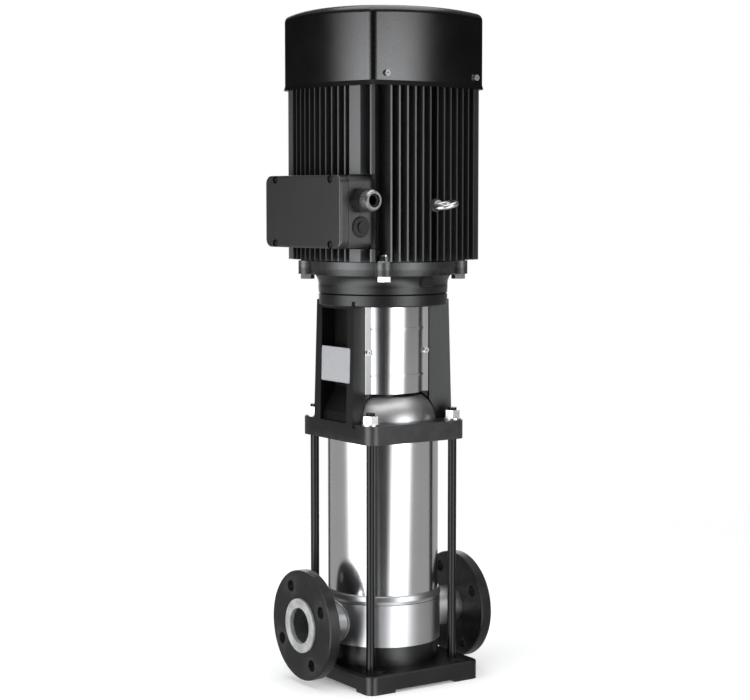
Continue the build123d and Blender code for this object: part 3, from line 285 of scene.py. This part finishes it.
def shell(name, grids, body, finish, tube=False):
    """One piece from grids of points, each rows by columns by XYZ. Columns join
    round; rows do too on a tube, and otherwise the first and last rows are
    closed with flat caps. It stays smooth up to the sharp angle."""
    sharp_angle = math.radians(38)
    points, faces, start = [], [], 0
    for grid in grids:
        rows, columns = grid.shape[:2]
        index = start + np.arange(rows * columns).reshape(rows, columns)
        ahead = np.roll(index, -1, axis=1)
        low, high = (index, np.roll(index, -1, axis=0)) if tube else (index[:-1], index[1:])
        low_ahead, high_ahead = (ahead, np.roll(ahead, -1, axis=0)) if tube else (ahead[:-1], ahead[1:])
        faces += np.stack([low, low_ahead, high_ahead, high], 2).reshape(-1, 4).tolist()
        if not tube:
            faces += [index[0, ::-1].tolist(), index[-1].tolist()]
        points.append(grid.reshape(-1, 3))
        start += rows * columns
    mesh = bpy.data.meshes.new(name)
    mesh.from_pydata(np.concatenate(points).tolist(), [], faces)
    mesh.polygons.foreach_set("use_smooth", np.ones(len(mesh.polygons), dtype=bool))
    mesh.set_sharp_from_angle(angle=sharp_angle)
    piece = bpy.data.objects.new(name, mesh)
    bpy.context.scene.collection.objects.link(piece)
    finish.paint(piece)
    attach(piece, body)
    return piece


# Centre line: y = r sin t, z = r cos t, x = sqrt(R^2 - y^2). The bead is a circle
# round it, swelling by a cosine of the scale count.
seam = np.linspace(0.0, 2 * np.pi, seam_count, endpoint=False)
across, rise = stub_reach * np.sin(seam), stub_reach * np.cos(seam)
reach = np.sqrt(chamber_reach**2 - across**2)
swell = bead_size * (1 + scale_depth * np.cos(scale_count * seam))
from_stub = np.stack([0 * seam, np.sin(seam), np.cos(seam)], 1)
beads = []
for side in (-1, 1):
    line = np.stack([side * reach, across, port_height + rise], 1)
    from_wall = np.stack([side * reach, across, 0 * seam], 1) / chamber_reach
    phase = np.linspace(0.0, 2 * np.pi, bead_count, endpoint=False) * -side
    section = np.cos(phase)[:, None, None] * from_stub + np.sin(phase)[:, None, None] * from_wall
    beads.append(line + swell[None, :, None] * section)
shell("stub_welds", beads, "pump", satin, tube=True)

# Collars: stainless rings on the stub ends, their faces turned with a spiral
# furrow that grips the pipe's gasket, and a little stained by water.
turned = Finish("turned_face", Metallic=0.5)
furrow_cycles = 1400.0
turned_stained, turned_clean = (0.42, 0.43, 0.42), (0.60, 0.605, 0.60)
face_y = turned.place.axis("Y")
face_z = turned.place.axis("Z") - port_height
spiral = ((face_y * face_y + face_z * face_z) ** 0.5) * furrow_cycles
furrow = 0.5 + 0.5 * spiral.math("SINE", spiral * (2 * math.pi))
stain = turned.place.noise(70.0, detail=4.0).step(0.35, 0.75)
turned.feed("Base Color", stain.blend(turned_stained, turned_clean))
turned.feed("Roughness", 0.5 + 0.2 * stain)
turned.bump(furrow, 0.0001)
turned.paint("suction_collar", "discharge_collar")

# Gaskets: moulded black rubber under the sleeve ring and under the terminal lid,
# squeezed by the pieces above them and dulled by dust.
rubber = Finish("black_rubber")
rubber_black, rubber_dusty = (0.006, 0.006, 0.006), (0.016, 0.016, 0.016)
dust = rubber.place.noise(200.0)
rubber.feed("Base Color", dust.blend(rubber_black, rubber_dusty))
rubber.feed("Roughness", 0.6 + 0.2 * dust)
rubber.paint("chamber_gasket", "terminal_gasket")

# Shafts, bearings, motor cores, coupling screws and the seal's spring unit:
# steel, turned and ground all over, and left bare inside the machine.
ground = Finish("ground_steel", Metallic=1.0, Base_Color=(0.5, 0.5, 0.51))
ground_lines = ground.place.scaled(20.0, 20.0, 800.0).noise(1.0)
ground.feed("Roughness", 0.25 + 0.15 * ground_lines)
ground.paint("pump_shaft", "motor_shaft", "coupling_screws", "motor_bearings")
ground.paint("stator", "rotor_core", "seal_spring_unit")

# Coupling halves, bottom bush and seal seat: grey iron for the coupling and hard
# grey carbide for the bush and the seat, machined and left bare.
iron = Finish("grey_iron", Metallic=0.8)
iron_dark, iron_light = (0.12, 0.12, 0.125), (0.22, 0.22, 0.22)
pits = iron.place.noise(350.0)
iron.feed("Base Color", pits.blend(iron_dark, iron_light))
iron.feed("Roughness", 0.45 + 0.2 * pits)
iron.bump(pits, 0.0001)
iron.paint("coupling_half_front", "coupling_half_rear", "bottom_bush", "seal_seat")

# Outer sleeve and coupling guards: stainless sheet, polished almost to a mirror,
# with faint upright polishing lines and a little uneven gloss.
mirror = Finish("polished_stainless", Metallic=1.0)
mirror_dark, mirror_light = (0.64, 0.64, 0.65), (0.72, 0.72, 0.73)
wisps = mirror.place.scaled(420.0, 420.0, 2.0).noise(1.0)
gloss_patch = mirror.place.noise(12.0)
mirror.feed("Base Color", gloss_patch.blend(mirror_dark, mirror_light))
mirror.feed("Roughness", 0.12 + 0.09 * wisps + 0.05 * gloss_patch)
mirror.bump(wisps, 0.00001)
mirror.paint("outer_sleeve", "coupling_guard_front", "coupling_guard_rear")

# Tie rods: drawn steel bar, chemically blacked and oiled, with fine drawing
# lines along it and a dull sheen.
blacked = Finish("blacked_steel", IOR=1.38)
blacked_deep, blacked_worn = (0.0006, 0.0006, 0.0007), (0.002, 0.002, 0.0022)
drawn = blacked.place.scaled(600.0, 600.0, 6.0).noise(1.0)
blacked.feed("Base Color", drawn.blend(blacked_deep, blacked_worn))
blacked.feed("Roughness", 0.24 + 0.14 * drawn)
blacked.bump(drawn, 0.00002)
blacked.paint("tie_rods")

# Threads on the rod ends above the nuts: a helix rolled into the same steel, and
# chamfered at the top so that the nut starts.
rod_x, rod_y, rod_radius = 0.074, 0.078, 0.0065
thread_bottom, thread_top, thread_pitch, thread_depth = 0.4081, 0.4119, 0.00125, 0.0003
thread_rows, thread_columns, chamfer_slope = 31, 28, 0.8
climb = np.linspace(0.0, thread_top - thread_bottom, thread_rows)[:, None]
wind = np.linspace(0.0, 2 * np.pi, thread_columns, endpoint=False)[None, :]
# Radius: r + d (1 + cos(2 pi z / p - a)) / 2, drawn in over the last pitch for the chamfer
ridge = thread_depth * (1 + np.cos(2 * np.pi * climb / thread_pitch - wind)) / 2
chamfer = np.clip(climb - (thread_top - thread_bottom - thread_pitch), 0.0, None) * chamfer_slope
thread_reach = rod_radius + ridge - chamfer
thread_height = thread_bottom + climb + 0 * wind
helix = np.stack([thread_reach * np.cos(wind), thread_reach * np.sin(wind), thread_height], 2)
threads = [helix + np.array([x, y, 0.0]) for x in (-rod_x, rod_x) for y in (-rod_y, rod_y)]
shell("rod_threads", threads, "pump", blacked)

# Nuts, washers, screws and lifting eye: forged or headed steel in bright zinc
# plate, a little mottled, screwed down.
zinc = Finish("bright_zinc", Metallic=1.0)
zinc_cool, zinc_warm = (0.64, 0.64, 0.66), (0.78, 0.77, 0.75)
spangle = zinc.place.noise(420.0, detail=2.0)
zinc.feed("Base Color", spangle.step(0.3, 0.7).blend(zinc_cool, zinc_warm))
zinc.feed("Roughness", 0.24 + 0.12 * spangle)
zinc.bump(spangle, 0.00002)
zinc.paint("tie_rod_nuts", "tie_rod_washers", "guard_screws", "cover_screws", "lifting_eye", "motor_bolts")

# Pad on the stool's neck: a small raised boss, cast in one with the stool and
# painted with it, flat on its face with rounded edges.
pad_bearing, pad_reach, pad_height, pad_bevel = 276.5, 0.1022, 0.6035, 0.0012
pad_half_width, pad_half_height, pad_corner, pad_root = 0.0115, 0.0075, 0.003, 0.012


def placed(grid, origin, out, side):
    """A grid drawn about its own Z axis, set at an origin with that axis along
    out and X along side."""
    out, side = np.array(out, float), np.array(side, float)
    out, side = out / np.linalg.norm(out), side / np.linalg.norm(side)
    return np.array(origin) + grid @ np.stack([side, np.cross(out, side), out])


def rounded_block(half_width, half_height, corner, steps):
    """Rows of one rounded rectangle in the XY plane, each drawn in by an inset
    and set at a height: four quarter circles of the corner radius joined by
    straight sides."""
    corner_points = 5
    quarter = np.linspace(0.0, np.pi / 2, corner_points)
    angle = np.concatenate([quarter + k * np.pi / 2 for k in range(4)])
    centre_x = np.repeat([1, -1, -1, 1], corner_points) * (half_width - corner)
    centre_y = np.repeat([1, 1, -1, -1], corner_points) * (half_height - corner)
    rows = []
    for inset, height in steps:
        x = centre_x + (corner - inset) * np.cos(angle)
        y = centre_y + (corner - inset) * np.sin(angle)
        rows.append(np.stack([x, y, np.full(len(angle), height)], 1))
    return np.stack(rows)


pad_turn = math.radians(pad_bearing)
pad_out = (math.cos(pad_turn), math.sin(pad_turn), 0.0)
pad_side = (-math.sin(pad_turn), math.cos(pad_turn), 0.0)
pad_origin = (pad_reach * pad_out[0], pad_reach * pad_out[1], pad_height)
pad_steps = [(0.0, -pad_root), (0.0, -pad_bevel), (pad_bevel, 0.0)]
pad = rounded_block(pad_half_width, pad_half_height, pad_corner, pad_steps)
shell("neck_pad", [placed(pad, pad_origin, pad_out, pad_side)], "pump", cast_paint)

# Nameplate: a blank silver plate of stamped sheet, lying back with the taper of
# the suction-side pillar, with a raised border and a domed rivet in each corner.
plate_lean = 0.0213
plate_origin = (-0.08805, -0.0055, 0.4796)
plate_out, plate_side = (-1.0, 0.0, plate_lean), (0.0, -1.0, 0.0)
plate_half_width, plate_half_height, plate_corner = 0.039, 0.026, 0.0025
plate_thickness, plate_bevel = 0.0008, 0.0001
border_inset, border_width, border_rise = 0.0008, 0.0008, 0.0003
rivet_inset, rivet_radius, rivet_rise = 0.0035, 0.0016, 0.0009
rivet_rows, rivet_sides, rivet_close = 5, 16, 0.47
plate = Finish("blank_plate", Metallic=0.35)
plate_bright, plate_dull = (0.52, 0.52, 0.54), (0.34, 0.34, 0.36)
sheen = plate.place.scaled(4.0, 4.0, 500.0).noise(1.0)
grime = plate.place.noise(60.0, detail=4.0).step(0.5, 0.8)
plate.feed("Base Color", (0.35 * sheen + 0.3 * grime).blend(plate_bright, plate_dull))
plate.feed("Roughness", 0.38 + 0.12 * sheen)


def spun(profile, count, ripple=0.0, lobes=0):
    """Points (radius, height) carried round Z: x = r cos a, y = r sin a, z = h,
    with r swelling by ripple times cos(lobes a)."""
    radius, height = np.array(profile, float).T
    angle = np.linspace(0.0, 2 * np.pi, count, endpoint=False)
    reach = radius[:, None] * (1 + ripple * np.cos(lobes * angle))
    return np.stack([reach * np.cos(angle), reach * np.sin(angle), height[:, None] + 0 * reach], 2)


sheet_steps = [(0.0, 0.0), (0.0, plate_thickness - plate_bevel), (plate_bevel, plate_thickness)]
sheet = rounded_block(plate_half_width, plate_half_height, plate_corner, sheet_steps)
border_steps = [
    (border_inset, plate_thickness / 2),
    (border_inset, plate_thickness + border_rise),
    (border_inset + border_width, plate_thickness + border_rise),
    (border_inset + border_width, plate_thickness / 2),
]
border = rounded_block(plate_half_width, plate_half_height, plate_corner, border_steps)
dome = np.linspace(0.0, rivet_close * np.pi, rivet_rows)
dome_profile = [(rivet_radius * math.cos(a), plate_thickness + rivet_rise * math.sin(a)) for a in dome]
rivet = spun([(rivet_radius, plate_thickness / 2), *dome_profile], rivet_sides)
corner_x, corner_y = plate_half_width - rivet_inset, plate_half_height - rivet_inset
rivets = [rivet + np.array([x, y, 0.0]) for x in (-corner_x, corner_x) for y in (-corner_y, corner_y)]
plate_grids = [placed(grid, plate_origin, plate_out, plate_side) for grid in [sheet, *rivets]]
border_grids = [placed(border, plate_origin, plate_out, plate_side)]
nameplate = shell("nameplate_sheet", plate_grids, "pump", plate)
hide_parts("nameplate")
shell("nameplate_border", border_grids, "pump", plate, tube=True)

# Motor frame, flange, end shield and terminal box: die-cast aluminium under
# satin black paint, with a painted highlight that lightens the tips of the fins.
motor_paint = Finish("motor_black_paint", IOR=1.8)
motor_deep, motor_thin, motor_highlight_grey = (0.0006, 0.0006, 0.0007), (0.0018, 0.0018, 0.0021), (0.03, 0.03, 0.032)
fin_grain = motor_paint.place.noise(300.0)
drift = motor_paint.place.noise(10.0)
# Painted highlight: the sharpest edges, such as the fin tips, turn a lighter grey where they would catch the
# light.
fin_tip_highlight = (motor_paint.edge + 0.06 * (drift - 0.5)).step(0.55, 0.66)
motor_tone = drift.step(0.3, 0.7).blend(motor_deep, motor_thin)
motor_paint.feed("Base Color", fin_tip_highlight.blend(motor_tone, motor_highlight_grey))
motor_paint.feed("Roughness", 0.34 + 0.12 * fin_grain)
motor_paint.bump(fin_grain, 0.00012)
motor_paint.paint("motor_frame", "motor_flange", "fan_end_shield", "terminal_box", "terminal_lid")

# Fan cover, motor nuts and lid screws: pressed steel sheet for the cover, headed
# steel for the rest, in gloss black enamel with a slight orange peel.
enamel = Finish("black_enamel", IOR=1.8)
enamel_deep, enamel_thin = (0.0005, 0.0005, 0.0006), (0.0016, 0.0016, 0.0019)
peel = enamel.place.noise(260.0, detail=2.0)
haze = enamel.place.noise(8.0).step(0.3, 0.7)
enamel.feed("Base Color", haze.blend(enamel_deep, enamel_thin))
enamel.feed("Roughness", 0.18 + 0.08 * enamel.place.noise(30.0))
enamel.bump(peel, 0.00008)
enamel.paint("fan_cover", "motor_nuts", "lid_screws")

# Cross recesses in the screw heads: the cover, guard and lid screws are steel
# pan heads. The recess that the driver turns is not cut; a thin near-black block of painted shade, shaped as
# a cross, stands in its place.
recess_half, recess_arm, recess_proud, recess_sink = 0.0017, 0.0004, 0.00006, 0.0004
cover_head, cover_screw_x, cover_screw_height = 0.1167, 0.085, 0.9046
guard_head, guard_screw_x, guard_screw_height = 0.0416, 0.052, 0.4969
lid_head, lid_screw_y, lid_screw_low, lid_screw_rise = 0.1506, 0.067, 0.6598, 0.094
motor_turn = math.radians(5.2)
# Painted shade: the cross is near black, standing for the shadow inside the recess.
recess_shade = Finish("painted_recess_shade", Roughness=0.7)
recess_shade_deep, recess_shade_light = (0.004, 0.004, 0.004), (0.02, 0.02, 0.02)
recess_shade.feed("Base Color", recess_shade.place.noise(900.0).blend(recess_shade_deep, recess_shade_light))


def turned_place(x, y, z):
    """A place or a direction on the motor, which stands turned about Z:
    x' = x cos t - y sin t, y' = x sin t + y cos t."""
    cosine, sine = math.cos(motor_turn), math.sin(motor_turn)
    return (x * cosine - y * sine, x * sine + y * cosine, z)


# One arm's three corners turned to the four quarters make the cross, and its
# outline at two levels makes the block.
arm = np.array([(recess_half, -recess_arm), (recess_half, recess_arm), (recess_arm, recess_arm)])
quarter_turns = np.arange(4) * np.pi / 2
quarters = [np.array([(math.cos(t), math.sin(t)), (-math.sin(t), math.cos(t))]) for t in quarter_turns]
outline = np.concatenate([arm @ quarter for quarter in quarters])
levels = (-recess_sink, recess_proud)
cross = np.stack([np.column_stack([outline, np.full(len(outline), level)]) for level in levels])
crosses = []
for side in (-1, 1):
    for place in (-1, 1):
        guard_place = (place * guard_screw_x, side * guard_head, guard_screw_height)
        crosses.append(placed(cross, guard_place, (0.0, side, 0.0), (-side, 0.0, 0.0)))
        cover_place = turned_place(place * cover_screw_x, side * cover_head, cover_screw_height)
        crosses.append(placed(cross, cover_place, turned_place(0, side, 0), turned_place(-side, 0, 0)))
        lid_place = turned_place(-lid_head, side * lid_screw_y, lid_screw_low + (place > 0) * lid_screw_rise)
        crosses.append(placed(cross, lid_place, turned_place(-1, 0, 0), turned_place(0, -1, 0)))
shell("screw_recess_shade", crosses, "pump", recess_shade)

# Gland body, blind plug, fan and terminal board: black nylon, injection moulded
# with a fine spark texture; the gland and the plug are screwed into the box.
nylon = Finish("black_nylon")
nylon_deep, nylon_light = (0.004, 0.004, 0.0045), (0.010, 0.010, 0.011)
spark = nylon.place.noise(500.0)
nylon.feed("Base Color", spark.blend(nylon_deep, nylon_light))
nylon.feed("Roughness", 0.32 + 0.2 * spark)
nylon.bump(spark, 0.0001)
nylon.paint("cooling_fan", "terminal_board", "blind_plug", "gland_body")

# Gland's sealing nut: nickel-plated brass, dulled on its side, with fine grip
# ribs round it and a rubber insert that closes on a cable.
gland_origin = turned_place(-0.116, -0.091, 0.723)
gland_out, gland_side = turned_place(0, -1, 0), turned_place(1, 0, 0)
grip_low, grip_high, grip_bevel = 0.0185, 0.0285, 0.0006
grip_radius, grip_root = 0.0151, 0.0125
grip_ribs, grip_ripple, rib_sides = 26, 0.014, 8
insert_mid, insert_half, insert_height, insert_bow = 0.0084, 0.0015, 0.0285, 0.0026
insert_rows, insert_sides = 12, 40
nickel = Finish("nickel_plate", Metallic=1.0)
nickel_dull, nickel_bright = (0.30, 0.295, 0.29), (0.48, 0.47, 0.455)
tarnish = nickel.place.noise(150.0)
nickel.feed("Base Color", tarnish.blend(nickel_dull, nickel_bright))
nickel.feed("Roughness", 0.24 + 0.12 * tarnish)
nickel.paint("gland_ring")
grip_profile = [
    (grip_root, grip_low),
    (grip_radius - grip_bevel, grip_low),
    (grip_radius, grip_low + grip_bevel),
    (grip_radius, grip_high - grip_bevel),
    (grip_radius - grip_bevel, grip_high),
    (grip_root, grip_high),
]
grip_ring = spun(grip_profile, rib_sides * grip_ribs, grip_ripple, grip_ribs)
grip = placed(grip_ring, gland_origin, gland_out, gland_side)
shell("gland_grip", [grip], "pump", nickel, tube=True)
# The insert's section is an ellipse: r = m + h cos a, z = top + b sin a
lip = np.linspace(0.0, 2 * np.pi, insert_rows, endpoint=False)
lip_profile = [
    (insert_mid + insert_half * math.cos(a), insert_height + insert_bow * math.sin(a)) for a in lip
]
insert = placed(spun(lip_profile, insert_sides), gland_origin, gland_out, gland_side)
shell("gland_insert", [insert], "pump", rubber, tube=True)
